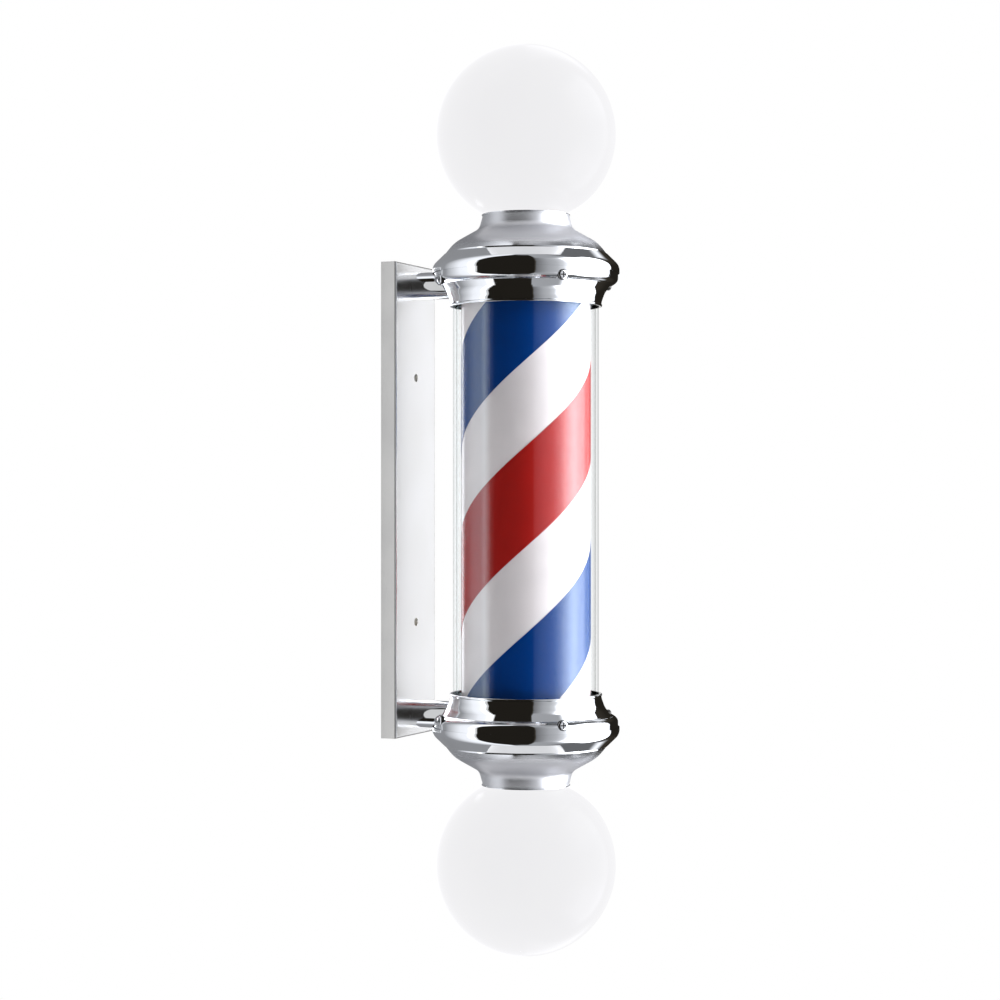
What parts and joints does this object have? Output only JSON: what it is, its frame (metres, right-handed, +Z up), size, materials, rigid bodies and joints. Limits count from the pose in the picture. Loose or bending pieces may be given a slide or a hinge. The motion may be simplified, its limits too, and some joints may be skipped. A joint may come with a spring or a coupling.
{
  "type": "barber pole light",
  "caption": "Wall-mounted barber pole light: striped drum turning in a clear tube, chrome end caps, an opal globe lamp at each end, on two short arms from a wall plate.",
  "frame": {"origin": "middle of the wall plate's back, on the wall", "axes": "+Z up along the pole; +Y into the wall, so the pole stands on the -Y side; +X to the right for a viewer in the room facing the wall"},
  "size_m": [0.1564, 0.1932, 0.7606],
  "materials": {
    "chrome": "mirror-polished chrome plate on spun and cast metal",
    "chrome_screw": "chrome-plated cross-head screws",
    "polished_steel": "mirror-polished stainless sheet, faint fine brushing",
    "opal": "opal white acrylic, glossy outside",
    "clear_glass": "clear drawn glass tube",
    "drum_white": "white translucent plastic sheet, satin gloss",
    "red_film": "red translucent vinyl film",
    "blue_film": "deep blue translucent vinyl film",
    "clear_rubber": "translucent silicone rubber",
    "black_rubber": "black rubber",
    "black_plastic": "black moulded plastic",
    "white_plastic": "white moulded plastic",
    "nylon": "natural nylon",
    "bulb_plastic": "frosted white diffuser",
    "plated_brass": "nickel-plated brass shell",
    "brass": "bright brass",
    "zinc_steel": "zinc-plated steel",
    "shaft_steel": "ground steel",
    "cast_alloy": "cast aluminium, bead-blasted",
    "aluminium": "extruded aluminium, natural anodised",
    "led_board": "white circuit board with light chips"
  },
  "bodies": {
    "frame": {"upper_arm": "chrome", "upper_ring": "chrome", "upper_ring_screws": "chrome_screw", "upper_dome": "chrome", "upper_gallery": "chrome", "upper_grip_ring": "clear_rubber", "upper_lampholder": "black_plastic", "upper_bulb_base": "plated_brass", "upper_bulb": "bulb_plastic", "upper_frame": "cast_alloy", "upper_nipple": "zinc_steel", "upper_nipple_nuts": "zinc_steel", "lower_arm": "chrome", "lower_ring": "chrome", "lower_ring_screws": "chrome_screw", "lower_dome": "chrome", "lower_gallery": "chrome", "lower_grip_ring": "clear_rubber", "lower_lampholder": "black_plastic", "lower_bulb_base": "plated_brass", "lower_bulb": "bulb_plastic", "lower_frame": "cast_alloy", "lower_nipple": "zinc_steel", "lower_nipple_nuts": "zinc_steel", "wall_plate": "polished_steel", "screw_spacers": "nylon", "terminal_block": "white_plastic", "terminal_screws": "brass", "cable_clamp": "white_plastic", "clamp_screws": "zinc_steel", "earth_stud": "brass", "earth_nut": "brass", "arm_rods": "zinc_steel", "arm_washers": "zinc_steel", "arm_nuts": "zinc_steel", "clear_tube": "clear_glass", "tube_gaskets": "black_rubber", "thrust_washer": "nylon", "motor_body": "zinc_steel", "motor_screws": "zinc_steel", "motor_bridge": "zinc_steel", "bridge_screws": "zinc_steel", "lamp_stem": "zinc_steel", "stem_screws": "zinc_steel", "lamp_post": "aluminium", "led_strips": "led_board", "led_driver": "black_plastic"},
    "drum": {"drum_sleeve": "drum_white", "red_stripe": "red_film", "blue_stripe": "blue_film", "drum_top_disc": "white_plastic", "drum_bottom_disc": "white_plastic", "drum_bush": "nylon", "drive_hub": "nylon", "hub_screws": "zinc_steel", "motor_shaft": "shaft_steel"},
    "top_globe": {"upper_globe": "opal"},
    "bottom_globe": {"lower_globe": "opal"}
  },
  "joints": [
    {"name": "drum_spin", "type": "hinge", "parent": "frame", "child": "drum", "pos_m": [0, -0.115, 0], "axis": [0, 0, 1], "continuous": true},
    {"name": "top_globe_lift", "type": "slide", "parent": "frame", "child": "top_globe", "axis": [0, 0, 1], "range_m": [0, 0.11]},
    {"name": "bottom_globe_drop", "type": "slide", "parent": "frame", "child": "bottom_globe", "axis": [0, 0, -1], "range_m": [0, 0.11]}
  ]
}
